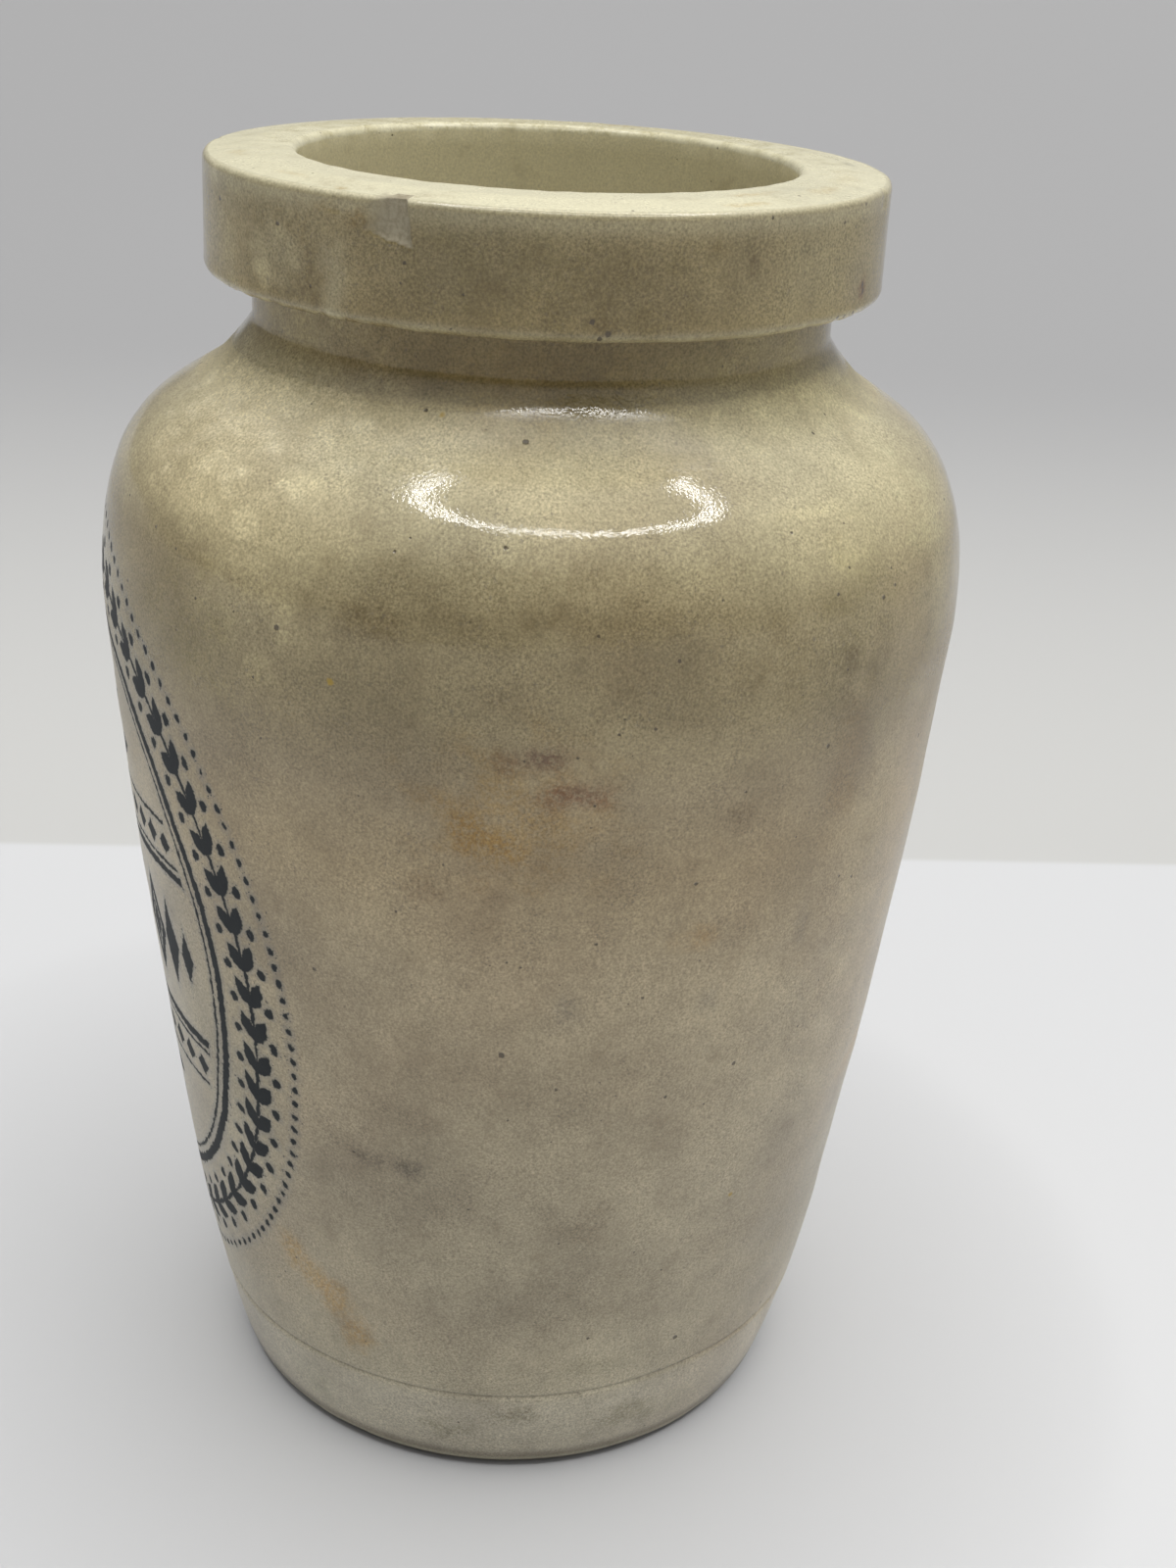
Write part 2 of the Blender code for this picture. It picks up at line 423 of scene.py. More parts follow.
# The collar's lower edge is ragged, with small nicks, and so is the outer edge of
# the rim in a few places. Each nick has its angle, half width and depth.
lower_edge = on["collar"] * hump(height, ledge_height + 0.1, 0.6) * (radius > 29.2)
height += lower_edge * (0.018 * ripple(21, 2.6) + 0.010 * ripple(22, 0.9))
for nick, half_width, depth in (
    (-57, 0.5, 0.25), (-47, 0.5, 0.22), (-36, 0.5, 0.24), (-21, 0.9, 0.12),
    (47, 1.3, 0.30), (55, 0.9, 0.30), (63, 0.7, 0.25), (98, 0.9, 0.30),
    (131, 0.6, 0.20), (-112, 1.0, 0.30), (-150, 0.7, 0.20), (160, 0.8, 0.25),
):
    height += lower_edge * 0.5 * depth * hump(from_camera, nick, half_width * 1.9)
top_edge = (on["rim"] | on["collar"]) * hump(radius, 29.9, 0.7) * (height > 123)
for nick, half_width, depth in (
    (-32.7, 0.45, 0.22), (32, 0.5, 0.12), (71, 0.4, 0.20), (-96, 0.7, 0.20),
    (140, 0.5, 0.18), (-157, 0.9, 0.25),
):
    radius -= top_edge * depth * hump(from_camera, nick, half_width * 1.9)

# A flake has broken out of the collar just under the rim. Its right edge is steep,
# its floor slopes up to a ledge along the bottom, and the clay in it is rough.
chip_across = (from_camera + 23.3) * math.radians(1) * collar_radius
chip_rag = 0.05 * ripple(31, 0.6)
chip_bottom = height - (121.38 - 0.23 * chip_across) + chip_rag
chip_right = 2.06 - 0.155 * (height - 120.9) - chip_across + 0.5 * chip_rag
chip_left = chip_across + 2.27 - 0.26 * (height - 121.9) + chip_rag
chip_top = 124.75 + 0.25 * hump(chip_across, 0.6, 0.5) - height + 0.5 * chip_rag
chip_edge = np.minimum(np.minimum(chip_right, chip_left), np.minimum(chip_bottom, chip_top))
in_chip = (on["rim"] | on["collar"]) & (radius > 28.6) & (height > 119) & (chip_edge > 0)
chip_depth = np.minimum(
    np.minimum(1.6 * chip_right, 0.20 * chip_left),
    np.minimum(1.1 * chip_bottom, 0.30 + 0.10 * chip_bottom),
)
chip_facet = 0.10 * np.abs(chip_across - 0.35 * (height - 122.4) - 0.3)
chip_depth = np.minimum(chip_depth, 0.44 - chip_facet) + 0.012 * ripple(32, 0.9)
chip_floor = collar_radius - np.maximum(chip_depth, 0.02)
radius = np.where(in_chip, np.minimum(radius, chip_floor), radius)

# The surface is a net of these rings, closed by one point in the middle of the
# hollow's floor and one in the middle of the underside.
rings, columns = len(outline) - 2, len(turns)
net = np.arange(rings * columns).reshape(rings, columns)
beside = np.roll(net, -1, axis=1)
faces = np.stack([net[:-1], net[1:], beside[1:], beside[:-1]], 2).reshape(-1, 4).tolist()
floor_middle, base_middle = rings * columns, rings * columns + 1
faces += [[floor_middle, a, b] for a, b in zip(net[0].tolist(), beside[0].tolist())]
faces += [[base_middle, b, a] for a, b in zip(net[-1].tolist(), beside[-1].tolist())]


def over_net(values, at_floor, at_base):
    """Values of every point of the net, with one each for the two middle points."""
    body = values[1:-1].reshape(rings * columns, -1)
    return np.concatenate([body, np.array([at_floor, at_base], float).reshape(2, -1)])


points = np.stack([radius * np.sin(turns), -radius * np.cos(turns), height], 2)
points = over_net(points, (0, 0, floor_height), (0, 0, recess_height)) / 1000
jar_mesh = bpy.data.meshes.new("jar")
jar_mesh.from_pydata(points.tolist(), [], faces)
jar_mesh.shade_smooth()
jar = bpy.data.objects.new("jar", jar_mesh)
bpy.context.scene.collection.objects.link(jar)
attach(jar, "root")
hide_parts("jar_body")

# Long use has stained the glaze, and other marks are painted light and shade. Each mark has its
# angle from the camera's side, its height, its half width and half height, and what it does to
# the colour under it. The widest are no stains: they are painted light and shade that make a
# whole region lighter or darker, as it looks in the picture. The marks on the other sides are
# lighter, and placed at random.
grey = (0.74, 0.71, 0.69)
brown = (0.84, 0.78, 0.70)
pale = (1.22, 1.23, 1.24)
rust = (1.02, 0.85, 0.62)
blue = (0.78, 0.80, 0.85)
side_stains_and_shade = [
    # Here (0, 72) is painted shade on the front of the body, and (63, 93) on the next line
    # painted light at its right edge.
    (-46, 89, 7.0, 6.0, (0.84, 0.83, 0.73)), (0, 72, 14, 8.0, (0.92, 0.91, 0.90)),
    (63, 93, 5.0, 8.0, (1.16, 1.22, 1.20)),
    # Painted shade on the lower front of the body, and painted light on its right side.
    (-4, 42, 18, 20, (0.90, 0.90, 0.89)), (34, 50, 12, 26, (1.10, 1.11, 1.12)),
    (6, 6.5, 11, 5.5, (0.84, 0.83, 0.81)),
    # Painted light on both sides of the neck. On the next line, (0, 110.5) is painted shade on
    # the front of the neck and (36, 90.5) painted shade just under the shoulder on the right.
    (-52, 109.5, 15, 6.5, (1.38, 1.42, 1.54)), (52, 110.8, 15, 4.8, (1.28, 1.32, 1.32)),
    (0, 110.5, 11, 3.4, (0.94, 0.90, 0.82)), (36, 90.5, 9.0, 5.0, (0.87, 0.86, 0.82)),
    # Pale glaze along the ridges on the shoulder, made lighter still as painted highlight.
    (-31, 102.7, 4.4, 0.7, (1.28, 1.29, 1.28)), (38, 101.6, 4.2, 0.55, (1.24, 1.25, 1.22)),
    (1.5, 84.1, 2.9, 1.3, (0.50, 0.39, 0.42)), (5.8, 80.9, 3.2, 1.3, (0.60, 0.43, 0.41)),
    (-1.0, 79.0, 8.0, 6.4, (1.02, 0.91, 0.71)), (-4.4, 76.6, 3.2, 2.6, (1.0, 0.88, 0.60)),
    (13, 88.0, 6.0, 2.6, (0.88, 0.87, 0.87)), (-17.9, 93.7, 3.0, 2.0, grey),
    (-13.1, 70.8, 2.6, 1.5, grey), (-18.5, 40.9, 3.6, 0.9, (0.60, 0.59, 0.60)),
    (-14.2, 40.3, 1.6, 1.0, (0.54, 0.54, 0.56)), (-12.4, 47.2, 2.4, 1.5, (0.88, 0.86, 0.85)),
    (11.8, 35.0, 2.4, 3.4, (0.86, 0.84, 0.82)), (27, 77.8, 1.8, 1.5, grey),
    (41.2, 88.3, 1.2, 2.4, grey), (0, 88.7, 4.0, 2.0, (0.88, 0.86, 0.85)),
    (6.3, 59.1, 1.4, 2.0, blue), (25.4, 59.1, 1.4, 1.3, blue), (39.9, 64.0, 0.9, 3.4, blue),
    (23, 66.1, 2.0, 1.3, (1.02, 0.90, 0.74)), (-36.5, 94.4, 7.0, 6.5, (1.32, 1.35, 1.38)),
    (-31.4, 87.0, 4.5, 4.0, (1.12, 1.12, 1.11)), (-50, 100.1, 9.0, 2.6, pale),
    (39.5, 98.9, 7.0, 2.4, (1.10, 1.10, 1.10)), (43, 93.0, 4.5, 6.0, (0.92, 0.93, 0.89)),
    # These two darken a band under the front of the shoulder.
    (-4, 97.4, 15, 3.2, (0.84, 0.82, 0.80)), (20, 91.0, 12, 4.0, (0.91, 0.89, 0.87)),
    (-27.6, 92.4, 2.6, 2.2, (1.20, 1.21, 1.20)), (42.4, 98.4, 2.8, 2.0, (1.16, 1.16, 1.14)),
    (43, 80.0, 2.2, 8.0, (0.90, 0.84, 0.77)), (-33, 23.0, 1.9, 2.8, (0.98, 0.81, 0.56)),
    (-37.5, 25.0, 1.7, 2.6, (0.98, 0.81, 0.55)), (-29, 20.5, 2.1, 2.8, (0.98, 0.80, 0.54)),
    (-25.5, 17.0, 2.0, 2.4, (0.93, 0.74, 0.48)),
    # The first mark here, (52, 68), is painted light along the right edge of the body.
    (52, 68.0, 4.4, 20, (1.11, 1.14, 1.13)), (-11.1, 6.0, 2.8, 1.5, (0.74, 0.73, 0.67)),
    (3.5, 9.2, 2.4, 1.1, (0.74, 0.73, 0.68)), (24, 7.0, 3.6, 2.0, (0.78, 0.77, 0.71)),
    (14.5, 15.6, 3.4, 1.4, (0.86, 0.86, 0.83)), (-38, 6.5, 2.6, 2.6, (0.90, 0.92, 0.88)),
    (33, 6.2, 3.0, 2.0, (0.90, 0.91, 0.88)), (13, 24.0, 9.0, 5.0, (0.92, 0.91, 0.90)),
]
draw = np.random.default_rng(7)
for number in range(46):
    colour = (grey, brown, blue, pale, rust)[number % 5]
    strength = draw.uniform(0.4, 0.9)
    side_stains_and_shade.append(
        (
            draw.uniform(64, 290),
            draw.uniform(14, 102),
            draw.uniform(1.2, 4.5),
            draw.uniform(0.9, 3.2),
            tuple(1 + strength * (np.array(colour) - 1)),
        )
    )
collar_stains_and_shade = [
    (-57, 114.9, 0.6, 0.40, (0.50, 0.43, 0.35)), (-51.5, 114.9, 0.9, 0.35, (0.58, 0.50, 0.42)),
    (-46, 114.9, 0.5, 0.40, (0.50, 0.43, 0.35)), (-40.5, 114.8, 1.1, 0.35, (0.62, 0.54, 0.44)),
    (-35, 114.9, 0.6, 0.40, (0.50, 0.43, 0.35)), (-30, 114.8, 0.9, 0.30, (0.58, 0.50, 0.42)),
    (-24, 114.8, 1.3, 0.30, (0.66, 0.58, 0.48)), (-14, 114.7, 1.8, 0.25, (0.74, 0.67, 0.57)),
    # (0, 119.5) is painted shade on the front of the collar, and (-62, 118.5) on the next line
    # painted light on its left.
    (0, 119.5, 13, 5.0, (0.89, 0.89, 0.84)),
    (-62, 118.5, 9.0, 5.5, (1.40, 1.42, 1.50)),
    (-37.2, 117.2, 0.6, 3.0, (0.86, 0.84, 0.80)), (-28.4, 122.6, 1.2, 0.9, (0.84, 0.76, 0.64)),
    (-35, 123.0, 1.6, 0.9, (0.88, 0.82, 0.72)), (25.9, 121.9, 1.4, 0.8, (0.80, 0.76, 0.68)),
    (32.6, 120.4, 0.7, 1.2, grey), (42.9, 121.3, 0.9, 1.1, (0.74, 0.74, 0.75)),
    (60, 118.0, 1.6, 2.4, (0.86, 0.86, 0.87)), (8.6, 115.8, 1.4, 0.9, (0.78, 0.74, 0.68)),
    (62.9, 117.0, 1.0, 1.1, (0.62, 0.40, 0.34)),
    (5, 119.2, 9.0, 2.6, (0.93, 0.91, 0.88)), (-8, 117.0, 5.0, 2.2, (1.05, 1.05, 1.04)),
    (110, 119, 3.0, 1.6, brown), (155, 118, 1.6, 1.8, grey), (-160, 120, 2.8, 1.4, brown),
    (-120, 117.5, 2.0, 1.6, grey), (-88, 120.5, 1.4, 1.2, (0.80, 0.76, 0.68)),
]
rim_stains_and_shade = [
    # (180, 26.0) is painted shade on the back half of the rim, and (55, 27.0) painted shade on
    # its right.
    (180, 26.0, 34.0, 6.0, (0.68, 0.65, 0.54)), (55, 27.0, 7.0, 4.0, (0.86, 0.86, 0.86)),
    (97.8, 27.6, 1.8, 0.5, (0.66, 0.66, 0.68)), (40.5, 25.5, 2.6, 0.8, (0.88, 0.77, 0.62)),
    (34, 28.4, 2.2, 0.6, (0.86, 0.77, 0.64)), (58, 27.0, 2.4, 0.8, (0.90, 0.82, 0.70)),
    (-33, 29.2, 0.6, 0.5, (0.68, 0.58, 0.44)), (-72, 27.6, 2.2, 0.7, (0.93, 0.89, 0.83)),
    (-47, 27.8, 2.6, 0.5, (0.92, 0.88, 0.82)), (74, 26.5, 5.0, 1.2, (0.95, 0.92, 0.86)),
    (-140, 27, 4.0, 0.8, (0.92, 0.88, 0.82)), (165, 25.6, 2.4, 0.7, (0.90, 0.84, 0.76)),
]
tint = np.ones((*radius.shape, 3))
fray = 0.16 * ripple(41, 2.2) + 0.10 * ripple(42, 0.9)
for name, level, marks in (
    ("side", height, side_stains_and_shade),
    ("collar", height, collar_stains_and_shade),
    ("rim", radius, rim_stains_and_shade),
):
    for turn, middle, half_width, half_height, colour in marks:
        aside = ((from_camera - turn + 180) % 360 - 180) * math.radians(1) * radius
        reach = np.hypot(aside / half_width, (level - middle) / half_height) + fray
        share = on[name] * np.clip((1.35 - reach) / 0.9, 0, 1) ** 1.5
        tint *= 1 + share[..., None] * (np.array(colour) - 1)

# On the collar's left is a patch the size of a thumb, pale in a dark uneven ring.
thumb_aside = (from_camera + 45.9) * math.radians(1) * collar_radius
thumb = np.hypot(thumb_aside / 4.6, (height - 118.7) / 3.4) + 0.8 * fray
for share, colour in (
    (hump(thumb, 1.0, 0.36), (0.78, 0.74, 0.67)),
    (np.clip(1.15 - thumb, 0, 1), (1.13, 1.15, 1.19)),
):
    tint *= 1 + (on["collar"] * share)[..., None] * (np.array(colour) - 1)

# The glaze is thin, and paler, on the rim and on every crisp edge. It is missing
# in the chip and where the foot ring has rubbed.
thin_top = hump(height, 124.9, 0.5) + 0.22 * hump(height, 123.7, 0.9)
thin_ledge = (0.30 + 0.04 * ripple(44, 3.2)) * hump(height, 115.0, 0.42)
thin = on["rim"] * 1.0 + on["collar"] * thin_top
thin = thin + on["collar"] * thin_ledge
thin = thin + on["inside"] * 0.9 + 0.2 * glaze_run
thin = thin + on["side"] * 0.5 * hump(height, foot_bevel, 0.4)
tint *= 1 - 0.26 * (on["side"] * hump(height, seam_line, 0.2))[..., None]
bare = in_chip * np.clip(chip_edge / 0.12, 0, 1) * np.clip(0.10 + chip_left / 1.7, 0, 1)
rubbed = on["foot"] * (height < 0.3) * np.clip(0.75 + 0.25 * ripple(43, 3), 0, 1)
tint_layer = jar_mesh.attributes.new("tint", "FLOAT_COLOR", "POINT")
tint_all = over_net(np.concatenate([tint, np.ones((*radius.shape, 1))], 2), (1,) * 4, (1,) * 4)
tint_layer.data.foreach_set("color", tint_all.ravel())
for name, values in (
    ("thin", np.clip(thin, 0, 1)),
    ("bare", np.clip(bare, 0, 1)),
    ("rubbed", rubbed),
    ("lining", on["inside"] & (height > 0)),
    ("printed", on["side"] & (height > 8)),
):
    layer = jar_mesh.attributes.new(name, "FLOAT", "POINT")
    layer.data.foreach_set("value", over_net(values * 1.0, 0, 0).ravel())

# The glaze is a warm cream, cloudy with grey and buff, finely grained like an
# eggshell, and peppered with iron specks and pinholes.
glaze = bpy.data.materials.new("cream_glaze")
glaze.use_nodes = True
tree = glaze.node_tree
finish = tree.nodes["Principled BSDF"]
here = put(tree, "ShaderNodeTexCoord", {}, output=3)
here = put(tree, "ShaderNodeVectorMath", {0: here, 3: 1000.0}, operation="SCALE")
east = put(tree, "ShaderNodeSeparateXYZ", {0: here})
south = sums(tree, "MULTIPLY", east.node.outputs[1], -1)
level = east.node.outputs[2]


def grain(size, detail=2.0, rough=0.5, shift=0.0):
    """Noise about one half, with its size in millimetres."""
    moved = put(tree, "ShaderNodeVectorMath", {0: here, 1: (shift, shift, shift)})
    return put(
        tree,
        "ShaderNodeTexNoise",
        {"Vector": moved, "Scale": 1 / size, "Detail": detail, "Roughness": rough},
    )


def tones(value, stops):
    """A run of colours along a value of 0 to 1."""
    ramp = put(tree, "ShaderNodeValToRGB", {0: value})
    steps = ramp.node.color_ramp.elements
    while len(steps) < len(stops):
        steps.new(0.5)
    for step, (position, colour) in zip(steps, stops):
        step.position = position
        step.color = (*colour, 1)
    return ramp


# The glaze's tone up the jar, with painted shade in it: the foot's bevel and underside are nearly
# black as a painted contact shadow, the side around the belly line is darker, and the neck under
# the collar darkest, as painted shade. The collar is darker than the side, partly in its own
# colour and partly as painted shade.
up_jar = sums(tree, "DIVIDE", level, jar_height)
glaze_tone_and_shade = tones(
    up_jar,
    [
        (0.00, (0.09, 0.07, 0.045)),
        (0.014, (0.17, 0.138, 0.098)),
        (0.025, (0.52, 0.48, 0.38)),
        (0.075, (0.51, 0.47, 0.375)),
        (0.10, (0.44, 0.395, 0.29)),
        (0.30, (0.385, 0.335, 0.24)),
        (0.50, (0.40, 0.335, 0.225)),
        (0.58, (0.39, 0.315, 0.195)),
        (0.64, (0.34, 0.28, 0.18)),
        (0.70, (0.30, 0.25, 0.145)),
        (0.76, (0.315, 0.265, 0.155)),
        (0.785, (0.40, 0.35, 0.215)),
        (0.84, (0.52, 0.47, 0.31)),
        (0.865, (0.40, 0.35, 0.205)),
        (0.885, (0.27, 0.215, 0.10)),
        (0.915, (0.265, 0.215, 0.105)),
        (0.95, (0.285, 0.24, 0.13)),
    ],
)
clouds = grain(16, 8, 0.68)
colour = lay_over(
    tree,
    fade(tree, clouds, 0.32, 0.68),
    lay_over(tree, 1.0, glaze_tone_and_shade, (0.79, 0.77, 0.74, 1), "MULTIPLY"),
    lay_over(tree, 1.0, glaze_tone_and_shade, (1.14, 1.135, 1.10, 1), "MULTIPLY"),
)
buff = fade(tree, grain(27, 3, 0.5, 40), 0.42, 0.66)
colour = lay_over(tree, buff, colour, (1.015, 0.985, 0.965, 1), "MULTIPLY")
thin_glaze = put(tree, "ShaderNodeAttribute", {}, output=2, attribute_name="thin")
colour = lay_over(tree, thin_glaze, colour, (0.70, 0.66, 0.465, 1))
lining = put(tree, "ShaderNodeAttribute", {}, output=2, attribute_name="lining")
colour = lay_over(tree, lining, colour, (0.69, 0.63, 0.405, 1))
# The tint attribute carries the stains and also the painted light and shade of the marks.
stains_and_shade = put(tree, "ShaderNodeAttribute", {}, attribute_name="tint")
stain_and_shade_share = fade(tree, grain(0.5, 3, 0.7, 9), 0.36, 0.60, 0.35, 1.0)
colour = lay_over(tree, stain_and_shade_share, colour, stains_and_shade, "MULTIPLY")
patch = grain(6, 9, 0.74, 21)
smudge = fade(tree, patch, 0.46, 0.30, 0, 1.0)
colour = lay_over(tree, smudge, colour, (0.82, 0.80, 0.78, 1), "MULTIPLY")
grain_reach = sums(
    tree,
    "MULTIPLY",
    fade(tree, up_jar, 0.80, 0.90, 1.45, 1.65),
    fade(tree, patch, 0.3, 0.7, 0.7, 1.3),
)
grain_reach = sums(tree, "MULTIPLY", grain_reach, sums(tree, "MULTIPLY_ADD", thin_glaze, -0.7, 1))
eggshell = sums(tree, "SUBTRACT", grain(0.23, 2, 0.65, 5), 0.5)
eggshell = sums(tree, "MULTIPLY_ADD", eggshell, grain_reach, 1)
colour = lay_over(
    tree,
    1.0,
    colour,
    put(tree, "ShaderNodeCombineColor", {0: eggshell, 1: eggshell, 2: eggshell}),
    "MULTIPLY",
)
pepper_patch = fade(tree, patch, 0.48, 0.66)
pepper_grain = grain(0.34, 2, 0.6, 33)
pepper = sums(
    tree,
    "MULTIPLY",
    fade(tree, pepper_grain, 0.57, 0.70),
    sums(tree, "MULTIPLY_ADD", pepper_patch, 0.8, 0.2),
)
pepper_share = sums(tree, "MULTIPLY", pepper, fade(tree, lining, 0, 1, 0.55, 0))
colour = lay_over(tree, pepper_share, colour, (0.16, 0.14, 0.115, 1))


def pinholes(cell, largest, shift):
    """Round holes scattered one to a cell, of unlike sizes, as depths in millimetres."""
    moved = put(tree, "ShaderNodeVectorMath", {0: here, 1: (shift, shift, shift)})
    holes = put(tree, "ShaderNodeTexVoronoi", {"Vector": moved, "Scale": 1 / cell})
    chance = put(tree, "ShaderNodeSeparateColor", {0: holes.node.outputs[1]})
    size = sums(tree, "MULTIPLY", sums(tree, "POWER", chance, 3.0), largest)
    return sums(tree, "SUBTRACT", size, sums(tree, "MULTIPLY", holes, cell))


def on_glaze(turn, at_height):
    """The place of a speck on the outside, by its angle from the camera and its height."""
    rows_out = np.flatnonzero(outer[:, 0])[::-1]
    reach = np.interp(at_height, outline[rows_out, 1], outline[rows_out, 0]) - 0.15
    angle = math.radians(turn + side_degrees)
    return (reach * math.sin(angle), -reach * math.cos(angle), at_height)


def specks(places):
    """Single specks, each at its place with its radius, as depths in millimetres."""
    deepest = None
    for turn, at_height, size in places:
        away = put(
            tree,
            "ShaderNodeVectorMath",
            {0: here, 1: on_glaze(turn, at_height)},
            output=1,
            operation="DISTANCE",
        )
        depth = sums(tree, "SUBTRACT", size, away)
        deepest = depth if deepest is None else sums(tree, "MAXIMUM", deepest, depth)
    return deepest


speck_rag = sums(tree, "MULTIPLY_ADD", grain(0.22, 1, 0.6, 3), 0.24, -0.12)
dark_specks = specks(
    [
        (-31.6, 118.0, 0.16), (24.1, 123.1, 0.18), (60.3, 124.0, 0.16),
        (53.4, 122.9, 0.16), (62.7, 117.3, 0.30), (63.2, 116.7, 0.26), (7.2, 116.4, 0.24),
        (7.2, 124.0, 0.10), (11.6, 123.9, 0.10), (15.9, 123.7, 0.12), (19.8, 123.4, 0.10),
        (53.9, 115.2, 0.22), (56.4, 115.1, 0.18), (59.6, 115.2, 0.20),
        (9.6, 115.5, 0.28), (8.4, 115.1, 0.26), (-47, 115.0, 0.14), (-52.6, 115.1, 0.14),
        (-36.2, 114.9, 0.14), (-31.0, 114.9, 0.14), (0.2, 98.8, 0.13), (0, 89.0, 0.13),
        (7.6, 94.2, 0.13), (17, 92.0, 0.17), (14.5, 86.5, 0.14), (23.4, 73.4, 0.13),
        (16.2, 60.5, 0.17), (14.4, 60.0, 0.12), (12.3, 47.4, 0.18), (6.8, 53.1, 0.13),
    ]
)
pits = sums(tree, "MAXIMUM", pinholes(4.2, 0.33, 0.0), pinholes(1.6, 0.165, 70.0))
all_pins = sums(tree, "ADD", sums(tree, "MAXIMUM", pits, dark_specks), speck_rag)
pin_share = fade(tree, all_pins, -0.03, 0.04)
pin_share = sums(tree, "MULTIPLY", pin_share, 0.85)
colour = lay_over(tree, pin_share, colour, (0.085, 0.068, 0.05, 1))
ochre = specks([(-22.8, 88.7, 0.36), (36.2, 34.3, 0.30), (-15.8, 107.8, 0.30)])
ochre_share = fade(tree, sums(tree, "ADD", ochre, speck_rag), -0.08, 0.14, 0, 0.85)
colour = lay_over(tree, ochre_share, colour, (0.40, 0.27, 0.04, 1))

# A blue-black transfer under the glaze covers the front: an upright oval wreath of
# leaves and berries in a dotted fringe, and in it a flower between lozenges, rules,
# ribbons and fans. It is drawn once and mirrored. Each shape is a depth in
# millimetres inside its edge, so the ink can bleed a little past it.
oval_wide, oval_high, oval_middle = 31.0, 36.0, 54.0
leaf_pitch = 3.7
fringe_pitch = 1.45
ink_tone = (0.006, 0.010, 0.013, 1)


def less(first, second):
    return sums(tree, "SUBTRACT", first, second)


def times(first, second):
    return sums(tree, "MULTIPLY", first, second)


def size_of(value):
    return sums(tree, "ABSOLUTE", value)


def length_of(first, second):
    """Distance from nought by two steps at right angles."""
    squares = sums(tree, "MULTIPLY_ADD", first, first, times(second, second))
    return sums(tree, "SQRT", squares)


across = times(sums(tree, "ARCTAN2", east, south), length_of(east, south))
aside = size_of(across)
above = less(level, oval_middle)
above_half = size_of(above)


def band(value, middle, half_width):
    """A line of even width along one level of a value."""
    return less(half_width, size_of(less(value, middle)))


def leaf(reach, off, length, half_width, vein=0.0):
    """A pointed leaf from zero to its length, with a pale vein if it has one."""
    share = sums(tree, "DIVIDE", reach, length)
    belly = times(times(share, less(1, share)), 4 * half_width)
    off = size_of(off)
    blade = less(belly, off)
    if vein:
        past_vein = times(sums(tree, "MAXIMUM", less(share, 0.72), 0), 12)
        clear = sums(tree, "ADD", less(off, vein), past_vein)
        blade = sums(tree, "MINIMUM", blade, clear)
    return blade


def any_of(*shapes):
    """All of some shapes together."""
    joined = shapes[0]
    for shape in shapes[1:]:
        joined = sums(tree, "MAXIMUM", joined, shape)
    return joined


def both(first, second):
    """Only what two shapes share."""
    return sums(tree, "MINIMUM", first, second)


oval_x = sums(tree, "DIVIDE", aside, oval_wide)
oval_y = sums(tree, "DIVIDE", above, oval_high)
oval_size = length_of(oval_x, oval_y)
oval_steep = length_of(
    sums(tree, "DIVIDE", oval_x, oval_wide), sums(tree, "DIVIDE", oval_y, oval_high)
)
off_oval = sums(tree, "DIVIDE", times(less(oval_size, 1), oval_size), oval_steep)
round_oval = sums(tree, "ARCTAN2", oval_x, times(oval_y, -1))
along_oval = sums(
    tree,
    "MULTIPLY_ADD",
    sums(tree, "SINE", times(round_oval, 2)),
    (oval_wide - oval_high) / 4,
    times(round_oval, (oval_wide + oval_high) / 2),
)


def repeated(value, pitch):
    """Distance along a value from the middle of the nearest of its repeats."""
    share = less(sums(tree, "FRACT", sums(tree, "DIVIDE", value, pitch)), 0.5)
    return times(share, pitch)


in_pitch = repeated(along_oval, leaf_pitch)
off_stem = size_of(off_oval)
leaf_lean = math.radians(30)
from_base = sums(tree, "ADD", in_pitch, 1.55)
up_leaf = sums(
    tree,
    "MULTIPLY_ADD",
    from_base,
    math.cos(leaf_lean),
    times(off_stem, math.sin(leaf_lean)),
)
off_leaf = sums(
    tree,
    "MULTIPLY_ADD",
    from_base,
    -math.sin(leaf_lean),
    times(off_stem, math.cos(leaf_lean)),
)
berry = less(0.50, length_of(sums(tree, "ADD", in_pitch, 1.2), less(off_stem, 2.3)))
wreath = any_of(leaf(up_leaf, off_leaf, 3.2, 0.78), band(off_oval, 0, 0.20), berry)
wreath_ends = both(times(less(round_oval, 0.13), 30), times(less(2.96, round_oval), 30))
wreath = both(wreath, wreath_ends)
fringe = less(0.30, length_of(repeated(along_oval, fringe_pitch), less(off_oval, 4.4)))
ovals = any_of(band(off_oval, -4.6, 0.46), band(off_oval, -5.9, 0.14), fringe)

from_middle = length_of(across, above)
petal_turn = sums(tree, "COSINE", times(sums(tree, "ARCTAN2", across, above), 8))
petals = less(sums(tree, "MULTIPLY_ADD", petal_turn, 1.3, 4.7), from_middle)
petals = both(petals, less(size_of(less(from_middle, 1.9)), 0.25))
flower = any_of(petals, band(from_middle, 7.4, 0.24))


def lozenge(middle, half_width, half_height):
    """An upright lozenge beside the flower."""
    flat = sums(tree, "DIVIDE", size_of(less(aside, middle)), half_width)
    tall = sums(tree, "DIVIDE", above_half, half_height)
    return times(less(1, sums(tree, "ADD", flat, tall)), half_width * 0.9)


